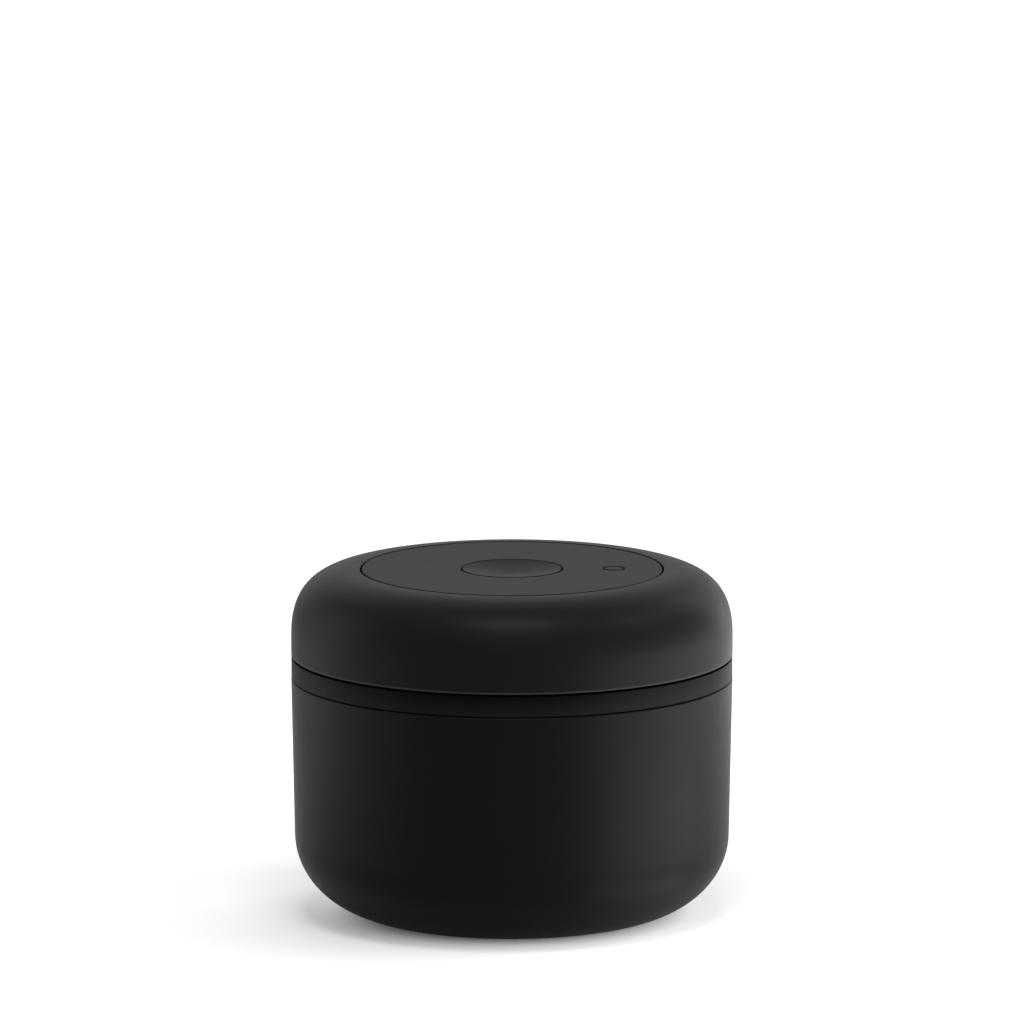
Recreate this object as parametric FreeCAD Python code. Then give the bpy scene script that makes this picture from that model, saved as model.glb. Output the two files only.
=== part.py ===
import FreeCAD
import Part
import math
import os

# A coffee canister with a pump lid: a drawn steel vessel, and a lid whose dome turns on a fixed base.
# Turning the dome drives a piston up and down through a cam, which draws the air out of the vessel.
# Millimetres, +Z up, origin at the centre of the foot. The vacuum indicator lies on +X.

# Steel vessel
rim_radius = 58.9
vessel_height = 63.8
vessel_wall = 0.8
side_taper = 1.3
corner_reach = 23.8
corner_height = 21.2
stand_width = 3.8
recess_height = 1.0
recess_slope = 1.6
recess_round = 0.5
hem_depth = 12.0
hem_thickness = 1.8
rim_round = 0.4

# Outside of the lid, read from the seams that show
rim_seam = 0.3
band_height = 5.4
band_inset = 0.05
band_round = 0.1
turning_gap = 0.6
dome_height = 23.0
dome_wall = 2.2
dome_edge_round = 0.2
skirt_height = 5.5
shoulder_side_share = 0.557
shoulder_top_share = 0.785
disc_radius = 40.05
disc_gap = 0.45
disc_thickness = 1.8
disc_round = 0.5
button_radius = 13.2
button_gap = 0.42
indicator_radius = 2.5
indicator_gap = 0.5
indicator_place_share = 0.51

# Travel
twist_angle = 75.0
pump_stroke = 8.0
button_travel = 2.0
indicator_travel = 2.5

# Clearances and cutting overrun
running_clearance = 0.3
face_clearance = 0.1
seat_clearance = 0.05
seal_clearance = 0.15
overrun = 1.0

# Share of a corner at which a cubic curve's handles follow a quarter ellipse
round_share = 0.5523

# Collar, the band that shows under the dome
collar_flange = 2.0
collar_upstand = 3.0
collar_upstand_wall = 1.6
seat_pad_inset = 0.4
seat_pad_width = 0.4

# Lid base, the plug that goes into the vessel's mouth
plug_depth = 17.0
plug_clearance = 1.8
plug_wall = 3.5
plug_round = 1.2
plate_thickness = 2.5
post_radius = 3.0
post_clearance = 1.3
rib_height = 8.6
rib_width = 2.4

# Gasket round the plug
groove_drop = 2.4
groove_height = 6.0
groove_depth = 1.6
gasket_lip_count = 2
gasket_lip_gap = 0.25
gasket_tip_share = 0.3
gasket_tip_round = 0.15

# Pump cylinder and the screws that hold it down
cylinder_wall = 1.8
boss_radius = 3.0
boss_height = 4.0
boss_gap = 0.6
lug_thickness = 2.5
seal_ring_section = 0.85
seal_ring_room = 0.05
tower_rise = 1.0
arm_slot_margin = 0.4

# Chimney in the middle of the lid base, which the piston slides on
chimney_bore = 4.2
chimney_wall = 1.8
chimney_margin = 1.0

# Piston with three arms
piston_lift = 2.0
crown_thickness = 3.0
hub_wall = 2.7
hub_height = 7.0
piston_gap = 0.4
skirt_wall = 2.4
piston_seal_drop = 0.8
piston_seal_height = 3.0
piston_seal_depth = 1.8
seal_lip_share = 0.4
stem_ring_section = 1.5
arm_count = 3
arm_start_share = 0.75
arm_width = 5.0
arm_height = 4.0
arm_clearance = 0.8
arm_hollow_share = 0.5
pin_radius = 1.5
pin_seat_depth = 4.2
pin_slot_play = 0.25
pin_overhang = 0.4

# Cam sleeve that turns with the dome
cam_wall = 2.5
cam_foot_width = 2.1
cam_foot_height = 2.0
cam_foot_clearance = 3.2
cam_ring_thickness = 2.2
cam_boss_radius = 2.4
cam_boss_height = 4.4
washer_thickness = 0.6
washer_inset = 0.4

# Inner flange of the dome, which the carrier holds down
flange_reach = 4.25
flange_thickness = 2.2
flange_gap = 0.4
dome_screw_count = 6

# Carrier under the top disc, with the cup that guides the button
carrier_thickness = 1.6
carrier_inset = 0.25
cup_depth = 10.3
cup_wall = 1.4
cup_floor = 1.5
carrier_rib_width = 1.6
carrier_rib_height = 3.5
peg_radius = 1.2
peg_length = 1.4

# Release button, its stem and the seal at the stem's foot
button_dish = 1.3
button_cap = 1.8
button_round = 0.3
dish_middle_share = 0.5
button_flange = 1.4
button_flange_height = 1.8
button_skirt_wall = 1.6
button_skirt_drop = 3.9
stem_radius = 2.4
stem_boss_wall = 1.8
stem_flange_radius = 5.0
stem_flange_height = 1.3
release_seal_radius = 6.2
release_seal_height = 1.6
button_coil_radius = 6.5
button_wire_radius = 0.4
button_coil_turns = 3.0
coil_steps_per_turn = 4

# Vacuum indicator
tube_wall = 1.2
tube_boss_wall = 0.75
tube_boss_height = 3.6
tube_spacing = 0.3
tube_shoulder = 1.5
sleeve_wall = 0.65
sleeve_height = 2.8
rod_radius = 1.45
rod_collar_height = 1.5
cap_height = 6.6
cap_cover = 2.1
spring_room = 7.5
indicator_coil_radius = 2.2
indicator_wire_radius = 0.2
indicator_coil_turns = 4.5
diaphragm_wall = 0.7
diaphragm_room = 0.5
diaphragm_gap = 0.4
diaphragm_port = 1.5

# Umbrella valves and the vents that they cover
valve_width_share = 0.39
valve_rim = 0.35
valve_crown = 1.2
valve_stem_share = 0.28
valve_bulb_share = 0.41
valve_bulb_height = 0.9
vent_count = 6
vent_radius_share = 0.19
vent_circle_share = 0.66

# Filter under the lid base
filter_gap = 1.0
filter_thickness = 0.8
filter_hole_margin = 1.6
cover_floor = 1.4
cover_wall = 1.4
cover_ring_wall = 1.6
cover_ring_height = 1.9
cover_slot_count = 18
cover_slot_width = 1.8
cover_slot_margin = 2.2

# Screws
screw_radius = 1.1
screw_head_radius = 1.9
screw_head_height = 1.2
screw_grip = 5.0
screw_socket_radius = 0.75
screw_socket_depth = 0.7

ORIGIN = FreeCAD.Vector(0, 0, 0)
AXIS = FreeCAD.Vector(0, 0, 1)
FULL_TURN = 360.0

# Levels, from the foot upwards
z_rim = vessel_height
z_band_bottom = z_rim + rim_seam
z_band_top = z_band_bottom + band_height
z_dome_bottom = z_band_top + turning_gap
z_top = z_dome_bottom + dome_height
z_plate_bottom = z_rim - plug_depth
z_plate_top = z_plate_bottom + plate_thickness
z_disc_bottom = z_top - disc_thickness
z_carrier_bottom = z_disc_bottom - carrier_thickness
z_cup_floor = z_disc_bottom - cup_depth
z_flange_top = z_carrier_bottom - flange_gap
z_flange_bottom = z_flange_top - flange_thickness
z_cam_ring_bottom = z_flange_bottom - cam_ring_thickness
z_washer_bottom = z_plate_top + rib_height
z_cam_bottom = z_washer_bottom + washer_thickness + face_clearance
z_piston_bottom = z_plate_top + piston_lift
z_piston_seal_bottom = z_piston_bottom + piston_seal_drop
z_piston_seal_top = z_piston_seal_bottom + piston_seal_height
z_arm_slot = z_piston_seal_top + pump_stroke + arm_slot_margin
z_arm_bottom = z_arm_slot + running_clearance
z_arm_top = z_arm_bottom + arm_height
z_pin = z_arm_bottom + arm_height / 2
z_tower_top = z_arm_top + pump_stroke + tower_rise
z_gasket_top = z_rim - groove_drop
z_gasket_bottom = z_gasket_top - groove_height
z_cover_top = z_plate_bottom - filter_gap - filter_thickness
z_cover_bottom = z_cover_top - cover_floor

# Radii, from the outside inwards
base_corner_radius = rim_radius - side_taper
foot_radius = base_corner_radius - corner_reach
mouth_radius = rim_radius - hem_thickness
band_radius = rim_radius - band_inset
dome_inner_radius = rim_radius - dome_wall
plug_radius = mouth_radius - plug_clearance
plug_inner_radius = plug_radius - plug_wall
cam_foot_radius = plug_inner_radius - cam_foot_clearance
cam_outer_radius = cam_foot_radius - cam_foot_width
cam_inner_radius = cam_outer_radius - cam_wall
arm_reach = cam_inner_radius - arm_clearance
hole_radius = disc_radius + disc_gap
flange_inner_radius = disc_radius - flange_reach
flange_screw_circle = (flange_inner_radius + hole_radius) / 2
post_circle = flange_inner_radius - post_clearance - post_radius
button_hole = button_radius + button_gap
button_flange_radius = button_radius + button_flange
cup_bore = button_flange_radius + button_gap
cup_radius = cup_bore + cup_wall
indicator_hole = indicator_radius + indicator_gap
sleeve_radius = indicator_hole + sleeve_wall
tube_bore = indicator_hole + seat_clearance
tube_radius = tube_bore + tube_wall
tube_boss_radius = tube_radius + seat_clearance + tube_boss_wall
indicator_offset = button_hole + (disc_radius - button_hole) * indicator_place_share
cylinder_radius = indicator_offset - tube_boss_radius - tube_spacing
bore_radius = cylinder_radius - cylinder_wall
boss_circle = cylinder_radius + boss_gap + boss_radius
chimney_radius = chimney_bore + chimney_wall
hub_bore = chimney_radius + running_clearance
hub_radius = hub_bore + hub_wall
piston_radius = bore_radius - piston_gap
skirt_bore = piston_radius - skirt_wall
valve_circle = (hub_radius + skirt_bore) / 2
valve_radius = (skirt_bore - hub_radius) * valve_width_share
valve_stem_radius = valve_radius * valve_stem_share
valve_bulb_radius = valve_radius * valve_bulb_share
vent_radius = valve_radius * vent_radius_share
cover_radius = cylinder_radius + cover_wall
filter_hole = release_seal_radius + filter_hole_margin

# Angles of what stands round the axis
arm_pitch = FULL_TURN / arm_count
arm_start_angle = arm_pitch * arm_start_share
post_start_angle = arm_start_angle - arm_pitch / 2
boss_start_angle = arm_start_angle - arm_pitch / 4
inlet_angle = post_start_angle
exhaust_angle = post_start_angle + arm_pitch


class Blend:
    """A smooth curve between the points before and after it, drawn towards a corner."""

    def __init__(self, corner, start_share, end_share):
        self.corner = FreeCAD.Vector(corner[0], 0, corner[1])
        self.start_share = start_share
        self.end_share = end_share

    def edge(self, start, end):
        first_handle = start + (self.corner - start) * self.start_share
        last_handle = end + (self.corner - end) * self.end_share
        curve = Part.BezierCurve()
        curve.setPoles([start, first_handle, last_handle, end])
        return curve.toShape()


def corner_arc(before, corner, after, rounding):
    """Start, middle and end of the arc that rounds a corner."""
    towards_before = (before - corner).normalize()
    towards_after = (after - corner).normalize()
    half_angle = towards_before.getAngle(towards_after) / 2
    inwards = (towards_before + towards_after).normalize()
    reach = rounding / math.tan(half_angle)
    middle = corner + inwards * (rounding / math.sin(half_angle) - rounding)
    return corner + towards_before * reach, middle, corner + towards_after * reach


def outline(stations):
    """Closed wire of radius and height. A station is (r, z), (r, z, rounding) or a Blend."""
    corners = []
    blends = {}
    for station in stations:
        if isinstance(station, Blend):
            blends[len(corners) - 1] = station
        else:
            corners.append(station)
    points = [FreeCAD.Vector(corner[0], 0, corner[1]) for corner in corners]
    arcs = []
    for index, corner in enumerate(corners):
        point = points[index]
        if len(corner) > 2:
            after = points[(index + 1) % len(points)]
            arcs.append(corner_arc(points[index - 1], point, after, corner[2]))
        else:
            arcs.append((point, None, point))
    edges = []
    for index, (entry, middle, leave) in enumerate(arcs):
        if middle is not None:
            edges.append(Part.Arc(entry, middle, leave).toShape())
        next_entry = arcs[(index + 1) % len(arcs)][0]
        if index in blends:
            edges.append(blends[index].edge(leave, next_entry))
        else:
            edges.append(Part.LineSegment(leave, next_entry).toShape())
    return Part.Wire(edges)


def turned(stations):
    """Solid of revolution about the axis."""
    solid = Part.Face(outline(stations)).revolve(ORIGIN, AXIS, FULL_TURN)
    if solid.Volume < 0:
        solid.reverse()
    return solid


def tube(inner, outer, bottom, top):
    return turned([(inner, bottom), (outer, bottom), (outer, top), (inner, top)])


def rod(radius, bottom, top):
    return Part.makeCylinder(radius, top - bottom, FreeCAD.Vector(0, 0, bottom), AXIS)


def placed(shape, circle, angle):
    """Copy of a shape moved out along +X, then turned about the axis."""
    copy = shape.copy()
    copy.translate(FreeCAD.Vector(circle, 0, 0))
    copy.rotate(ORIGIN, AXIS, angle)
    return copy


def ring_of(shape, circle, count, start_angle):
    """Copies of a shape, evenly spaced round the axis."""
    return [placed(shape, circle, start_angle + index * FULL_TURN / count) for index in range(count)]


def bar(length_from, length_to, width, bottom, top):
    """Straight bar along +X, centred on it."""
    corner = FreeCAD.Vector(length_from, -width / 2, bottom)
    return Part.makeBox(length_to - length_from, width, top - bottom, corner)


def side_radius(height):
    """Outer radius of the vessel's straight side."""
    return base_corner_radius + side_taper * height / vessel_height


def canister_shell():
    """Drawn vessel with a wide rounded corner, a stand ring and a hemmed rim."""
    recess_radius = foot_radius - stand_width
    recess_top_radius = recess_radius - recess_slope
    hem_bottom = z_rim - hem_depth
    inner_corner = (base_corner_radius - vessel_wall, vessel_wall)
    return turned(
        [
            (0, recess_height),
            (recess_top_radius, recess_height, recess_round),
            (recess_radius, 0, recess_round),
            (foot_radius, 0),
            Blend((base_corner_radius, 0), round_share, round_share),
            (side_radius(corner_height), corner_height),
            (rim_radius, z_rim, rim_round),
            (mouth_radius, z_rim, rim_round),
            (mouth_radius, hem_bottom),
            (side_radius(hem_bottom) - vessel_wall, hem_bottom),
            (side_radius(corner_height) - vessel_wall, corner_height),
            Blend(inner_corner, round_share, round_share),
            (foot_radius, vessel_wall),
            (recess_radius, vessel_wall, recess_round),
            (recess_top_radius, recess_height + vessel_wall, recess_round),
            (0, recess_height + vessel_wall),
        ]
    )


def collar_ring():
    """Band with a pad that sits on the rim, and an upstand that the dome's skirt turns round."""
    inner = plug_radius + seat_clearance
    pad_inner = mouth_radius + seat_pad_inset
    pad_outer = pad_inner + seat_pad_width
    z_plug_top = z_band_top - collar_flange
    upstand_outer = dome_inner_radius - running_clearance
    upstand_inner = upstand_outer - collar_upstand_wall
    z_upstand = z_band_top + collar_upstand
    return turned(
        [
            (inner, z_band_bottom),
            (pad_inner, z_band_bottom),
            (pad_inner, z_rim),
            (pad_outer, z_rim),
            (pad_outer, z_band_bottom),
            (band_radius, z_band_bottom, band_round),
            (band_radius, z_band_top, band_round),
            (upstand_outer, z_band_top),
            (upstand_outer, z_upstand, band_round),
            (upstand_inner, z_upstand, band_round),
            (upstand_inner, z_band_top),
            (plug_inner_radius, z_band_top),
            (plug_inner_radius, z_plug_top),
            (inner, z_plug_top),
        ]
    )


def dome_shell():
    """Turning dome: a skirt, a soft shoulder, and an inner flange hidden under the top disc."""
    z_shoulder = z_dome_bottom + skirt_height
    inner_wall_radius = hole_radius + dome_wall
    shell = turned(
        [
            (dome_inner_radius, z_dome_bottom),
            (rim_radius, z_dome_bottom, dome_edge_round),
            (rim_radius, z_shoulder),
            Blend((rim_radius, z_top), shoulder_side_share, shoulder_top_share),
            (hole_radius + disc_round, z_top),
            Blend((hole_radius, z_top), round_share, round_share),
            (hole_radius, z_top - disc_round),
            (hole_radius, z_flange_top),
            (flange_inner_radius, z_flange_top),
            (flange_inner_radius, z_flange_bottom),
            (inner_wall_radius, z_flange_bottom),
            (inner_wall_radius, z_top - dome_wall),
            Blend((dome_inner_radius, z_top - dome_wall), shoulder_top_share, shoulder_side_share),
            (dome_inner_radius, z_shoulder),
        ]
    )
    sink = countersink(z_flange_top, z_flange_bottom)
    return shell.cut(ring_of(sink, flange_screw_circle, dome_screw_count, post_start_angle))


def cam_slot():
    """Cutter for one helical slot, which climbs against the dome's turn from the pin's rest place."""
    half_height = pin_radius + pin_slot_play
    middle_radius = (cam_inner_radius + cam_outer_radius) / 2
    slope = math.atan2(pump_stroke, middle_radius * math.radians(twist_angle))
    half_rise = half_height / math.cos(slope)
    inner = cam_inner_radius - overrun
    outer = cam_outer_radius + overrun
    pitch = pump_stroke * FULL_TURN / twist_angle
    spine = Part.makeHelix(pitch, pump_stroke, middle_radius, 0, True)
    section = Part.makePolygon(
        [
            FreeCAD.Vector(inner, 0, -half_rise),
            FreeCAD.Vector(outer, 0, -half_rise),
            FreeCAD.Vector(outer, 0, half_rise),
            FreeCAD.Vector(inner, 0, half_rise),
            FreeCAD.Vector(inner, 0, -half_rise),
        ]
    )
    sweep = Part.BRepOffsetAPI.MakePipeShell(Part.Wire(spine.Edges))
    sweep.setBiNormalMode(AXIS)
    sweep.add(section)
    sweep.build()
    sweep.makeSolid()
    run = sweep.shape()
    length = outer - inner
    end = Part.makeCylinder(half_height, length, FreeCAD.Vector(inner, 0, 0), FreeCAD.Vector(1, 0, 0))
    top_end = end.copy()
    top_end.translate(FreeCAD.Vector(0, 0, pump_stroke))
    top_end.rotate(ORIGIN, AXIS, -twist_angle)
    slot = run.fuse([end, top_end])
    slot.translate(FreeCAD.Vector(0, 0, z_pin))
    return slot


def cam_sleeve():
    """Sleeve with a helical slot for each piston arm, a foot to turn on and a ring for the dome."""
    sleeve = turned(
        [
            (cam_inner_radius, z_cam_bottom),
            (cam_foot_radius, z_cam_bottom),
            (cam_foot_radius, z_cam_bottom + cam_foot_height),
            (cam_outer_radius, z_cam_bottom + cam_foot_height),
            (cam_outer_radius, z_flange_bottom),
            (flange_inner_radius, z_flange_bottom),
            (flange_inner_radius, z_cam_ring_bottom),
            (cam_inner_radius, z_cam_ring_bottom),
        ]
    )
    boss = rod(cam_boss_radius, z_cam_ring_bottom - cam_boss_height, z_flange_bottom)
    bosses = ring_of(boss, flange_screw_circle, dome_screw_count, post_start_angle)
    pilot = screw_pilot(z_flange_bottom)
    pilots = ring_of(pilot, flange_screw_circle, dome_screw_count, post_start_angle)
    slots = ring_of(cam_slot(), 0, arm_count, arm_start_angle)
    return sleeve.fuse(bosses).cut(pilots + slots).removeSplitter()


def glide_washer():
    inner = cam_inner_radius + washer_inset
    outer = cam_foot_radius - washer_inset
    return tube(inner, outer, z_washer_bottom, z_washer_bottom + washer_thickness)


def vent_holes(bottom, top):
    """Ring of vents and the stem hole of an umbrella valve, centred on the axis."""
    vent = rod(vent_radius, bottom - overrun, top + overrun)
    vents = ring_of(vent, valve_radius * vent_circle_share, vent_count, 0)
    stem_hole = rod(valve_stem_radius + seat_clearance, bottom - overrun, top + overrun)
    return vents + [stem_hole]


def umbrella_valve(plate_bottom, plate_top):
    """Moulded valve: a thin skirt over the vents, and a stem held by a bulb under the plate."""
    z_bulb = plate_bottom - valve_bulb_height
    return turned(
        [
            (0, z_bulb),
            (valve_stem_radius, z_bulb),
            (valve_bulb_radius, plate_bottom - face_clearance),
            (valve_stem_radius, plate_bottom - face_clearance),
            (valve_stem_radius, plate_top),
            (valve_radius, plate_top),
            (valve_radius, plate_top + valve_rim),
            (valve_stem_radius, plate_top + valve_crown),
            (0, plate_top + valve_crown),
        ]
    )


def inlet_valve():
    return placed(umbrella_valve(z_plate_bottom, z_plate_top), valve_circle, inlet_angle)


def exhaust_valve():
    valve = umbrella_valve(z_piston_bottom, z_piston_bottom + crown_thickness)
    return placed(valve, valve_circle, exhaust_angle)


def lid_base():
    """Plug with a gasket groove, the chimney, the rib that the cam turns on, and the posts."""
    z_plug_top = z_band_top - collar_flange
    groove_radius = plug_radius - groove_depth
    plug = turned(
        [
            (chimney_bore, z_plate_bottom),
            (plug_radius, z_plate_bottom, plug_round),
            (plug_radius, z_gasket_bottom),
            (groove_radius, z_gasket_bottom),
            (groove_radius, z_gasket_top),
            (plug_radius, z_gasket_top),
            (plug_radius, z_plug_top),
            (plug_inner_radius, z_plug_top),
            (plug_inner_radius, z_plate_top, plug_round),
            (chimney_radius, z_plate_top),
            (chimney_radius, chimney_top()),
            (chimney_bore, chimney_top()),
        ]
    )
    rib_middle = (cam_inner_radius + cam_foot_radius) / 2
    rib = tube(rib_middle - rib_width / 2, rib_middle + rib_width / 2, z_plate_top, z_washer_bottom)
    cover_seat = cover_radius + seat_clearance
    cover_ring_bottom = z_plate_bottom - cover_ring_height
    cover_ring = tube(cover_seat, cover_seat + cover_ring_wall, cover_ring_bottom, z_plate_bottom)
    post = rod(post_radius, z_plate_top, z_carrier_bottom)
    posts = ring_of(post, post_circle, arm_count, post_start_angle)
    boss = rod(boss_radius, z_plate_top, z_plate_top + boss_height)
    bosses = ring_of(boss, boss_circle, arm_count, boss_start_angle)
    z_tube_boss = z_plate_top + tube_boss_height
    tube_boss = tube(tube_radius + seat_clearance, tube_boss_radius, z_plate_top, z_tube_boss)
    solid = plug.fuse([rib, cover_ring, placed(tube_boss, indicator_offset, 0)] + posts + bosses)
    post_pilots = ring_of(screw_pilot(z_carrier_bottom), post_circle, arm_count, post_start_angle)
    boss_pilot = screw_pilot(z_plate_top + boss_height)
    boss_pilots = ring_of(boss_pilot, boss_circle, arm_count, boss_start_angle)
    port = rod(diaphragm_port, z_plate_bottom - overrun, z_plate_top + overrun)
    vents = [placed(hole, valve_circle, inlet_angle) for hole in vent_holes(z_plate_bottom, z_plate_top)]
    groove_inner, groove_outer, groove_bottom = seal_ring_groove()
    ring_groove = tube(groove_inner, groove_outer, groove_bottom, z_plate_top + overrun)
    cuts = post_pilots + boss_pilots + vents + [placed(port, indicator_offset, 0), ring_groove]
    return solid.cut(cuts).removeSplitter()


def chimney_top():
    """The chimney reaches past the piston's hub at the top of its stroke."""
    return z_piston_bottom + hub_height + pump_stroke + chimney_margin


def seal_ring_groove():
    """Inner radius, outer radius and bottom of the groove under the cylinder's foot."""
    middle = (bore_radius + cylinder_radius) / 2
    half_width = seal_ring_section / 2 + seal_ring_room
    depth = seal_ring_section + seal_ring_room
    return middle - half_width, middle + half_width, z_plate_top - depth


def cylinder_seal_ring():
    inner, outer, bottom = seal_ring_groove()
    section_radius = seal_ring_section / 2
    centre = FreeCAD.Vector(0, 0, bottom + section_radius)
    return Part.makeTorus((inner + outer) / 2, section_radius, centre, AXIS)


def lid_gasket():
    """Silicone ring in the plug's groove, with lips that bear on the mouth."""
    inner = plug_radius - groove_depth + seat_clearance
    bottom = z_gasket_bottom + seat_clearance
    top = z_gasket_top - seat_clearance
    root = plug_radius
    tip = mouth_radius - gasket_lip_gap
    pitch = (top - bottom) / gasket_lip_count
    stations = [(inner, bottom), (root, bottom)]
    for index in range(gasket_lip_count):
        lip_bottom = bottom + index * pitch
        lip_tip = lip_bottom + pitch * gasket_tip_share
        lip_top = lip_bottom + pitch * (1 - gasket_tip_share)
        stations.append((tip, lip_tip, gasket_tip_round))
        stations.append((root, lip_top))
    stations.append((root, top))
    stations.append((inner, top))
    return turned(stations)


def pump_cylinder():
    """Cylinder with three lugs, slotted from the top so that the arms slide and can't turn."""
    barrel = tube(bore_radius, cylinder_radius, z_plate_top, z_tower_top)
    z_lug = z_plate_top + boss_height
    lug = rod(boss_radius, z_lug, z_lug + lug_thickness)
    web_start = bore_radius + cylinder_wall / 2 - boss_circle
    web = bar(web_start, 0, 2 * boss_radius, z_lug, z_lug + lug_thickness)
    lugs = ring_of(lug.fuse(web), boss_circle, arm_count, boss_start_angle)
    lug_holes = ring_of(
        rod(screw_radius + seat_clearance, z_lug - overrun, z_lug + lug_thickness + overrun),
        boss_circle,
        arm_count,
        boss_start_angle,
    )
    slot_width = arm_width + 2 * running_clearance
    slot_start = bore_radius - overrun
    slot_end = cylinder_radius + overrun
    slot = bar(slot_start, slot_end, slot_width, z_arm_slot, z_tower_top + overrun)
    slots = ring_of(slot, 0, arm_count, arm_start_angle)
    bore = rod(bore_radius, z_plate_top - overrun, z_tower_top + overrun)
    return barrel.fuse(lugs).cut(lug_holes + slots + [bore]).removeSplitter()


def pump_piston():
    """Piston crown and skirt on a sliding hub, with arms that reach out to the cam."""
    seal_radius = piston_radius - piston_seal_depth
    z_crown = z_piston_bottom + crown_thickness
    z_hub = z_piston_bottom + hub_height
    ring_radius = chimney_radius + seal_clearance + stem_ring_section - seat_clearance
    z_ring_bottom, z_ring_top = stem_ring_levels()
    body = turned(
        [
            (hub_bore, z_piston_bottom),
            (piston_radius, z_piston_bottom),
            (piston_radius, z_piston_seal_bottom),
            (seal_radius, z_piston_seal_bottom),
            (seal_radius, z_piston_seal_top),
            (piston_radius, z_piston_seal_top),
            (piston_radius, z_arm_top),
            (skirt_bore, z_arm_top),
            (skirt_bore, z_crown),
            (hub_radius, z_crown),
            (hub_radius, z_hub),
            (hub_bore, z_hub),
            (hub_bore, z_ring_top),
            (ring_radius, z_ring_top),
            (ring_radius, z_ring_bottom),
            (hub_bore, z_ring_bottom),
        ]
    )
    skirt_middle = (skirt_bore + piston_radius) / 2
    arm = bar(skirt_middle, arm_reach, arm_width, z_arm_bottom, z_arm_top)
    hollow_width = arm_width * arm_hollow_share
    hollow_depth = arm_height * arm_hollow_share
    hollow_end = arm_reach - pin_seat_depth - hollow_width
    hollow_start = cylinder_radius + hollow_width
    hollow = bar(hollow_start, hollow_end, hollow_width, z_arm_bottom, z_arm_bottom + hollow_depth)
    seat = Part.makeCylinder(
        pin_radius + seat_clearance,
        pin_seat_depth + overrun,
        FreeCAD.Vector(arm_reach - pin_seat_depth, 0, z_pin),
        FreeCAD.Vector(1, 0, 0),
    )
    arms = ring_of(arm.cut([hollow, seat]), 0, arm_count, arm_start_angle)
    vents = [placed(hole, valve_circle, exhaust_angle) for hole in vent_holes(z_piston_bottom, z_crown)]
    return body.fuse(arms).cut(vents).removeSplitter()


def stem_ring_levels():
    """Bottom and top of the groove inside the piston's hub."""
    middle = z_piston_bottom + hub_height / 2
    half_height = stem_ring_section / 2 + seat_clearance
    return middle - half_height, middle + half_height


def piston_seal():
    """Cup seal on the piston, with a lip that bears on the bore."""
    inner = piston_radius - piston_seal_depth + seat_clearance
    bottom = z_piston_seal_bottom + seat_clearance
    top = z_piston_seal_top - seat_clearance
    lip = bore_radius - seal_clearance
    neck = inner + (lip - inner) * seal_lip_share
    heel = bottom + (top - bottom) * seal_lip_share
    return turned([(inner, bottom), (lip, bottom), (lip, heel), (neck, heel), (neck, top), (inner, top)])


def hub_seal_ring():
    """Seal ring between the piston's hub and the chimney."""
    z_ring_bottom, z_ring_top = stem_ring_levels()
    section_radius = stem_ring_section / 2 - seat_clearance
    middle = chimney_radius + seal_clearance + section_radius
    centre = FreeCAD.Vector(0, 0, (z_ring_bottom + z_ring_top) / 2)
    return Part.makeTorus(middle, section_radius, centre, AXIS)


def cam_pins():
    """Dowels pressed into the arms, which follow the cam's slots."""
    start = arm_reach - pin_seat_depth
    length = cam_outer_radius + pin_overhang - start
    pin = Part.makeCylinder(pin_radius, length, FreeCAD.Vector(start, 0, z_pin), FreeCAD.Vector(1, 0, 0))
    return Part.Compound(ring_of(pin, 0, arm_count, arm_start_angle))


def top_carrier():
    """Plate that holds the dome down and carries the top disc, with a cup for the button."""
    z_cup_bottom = z_cup_floor - cup_floor
    carrier_radius = disc_radius - carrier_inset
    stem_hole = stem_radius + running_clearance
    plate = turned(
        [
            (stem_hole, z_cup_bottom),
            (cup_radius, z_cup_bottom),
            (cup_radius, z_carrier_bottom),
            (carrier_radius, z_carrier_bottom),
            (carrier_radius, z_disc_bottom),
            (cup_bore, z_disc_bottom),
            (cup_bore, z_cup_floor),
            (stem_hole, z_cup_floor),
        ]
    )
    rib_start = cup_radius - cup_wall / 2
    rib_end = flange_inner_radius - post_clearance
    z_rib = z_carrier_bottom - carrier_rib_height
    rib = bar(rib_start, rib_end, carrier_rib_width, z_rib, z_carrier_bottom)
    ribs = ring_of(rib, 0, arm_count, arm_start_angle)
    sink = countersink(z_disc_bottom, z_carrier_bottom)
    sinks = ring_of(sink, post_circle, arm_count, post_start_angle)
    tube_hole = rod(tube_radius + seat_clearance, z_carrier_bottom - overrun, z_disc_bottom + overrun)
    peg_hole = rod(peg_radius + seat_clearance, z_carrier_bottom - overrun, z_disc_bottom + overrun)
    peg_holes = ring_of(peg_hole, post_circle, arm_count, boss_start_angle)
    cuts = sinks + peg_holes + [placed(tube_hole, indicator_offset, 0)]
    return plate.fuse(ribs).cut(cuts).removeSplitter()


def top_disc():
    """Flat cover disc, pegged to the carrier, with holes for the button and the indicator."""
    disc = turned(
        [
            (button_hole, z_disc_bottom),
            (disc_radius, z_disc_bottom),
            (disc_radius, z_top, disc_round),
            (button_hole, z_top, disc_round),
        ]
    )
    peg = rod(peg_radius, z_disc_bottom - peg_length, z_disc_bottom)
    pegs = ring_of(peg, post_circle, arm_count, boss_start_angle)
    hole = turned(
        [
            (0, z_disc_bottom - overrun),
            (indicator_hole, z_disc_bottom - overrun),
            (indicator_hole, z_top - disc_round),
            Blend((indicator_hole, z_top), round_share, round_share),
            (indicator_hole + disc_round, z_top),
            (indicator_hole + disc_round, z_top + overrun),
            (0, z_top + overrun),
        ]
    )
    return disc.fuse(pegs).cut(placed(hole, indicator_offset, 0)).removeSplitter()


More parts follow.
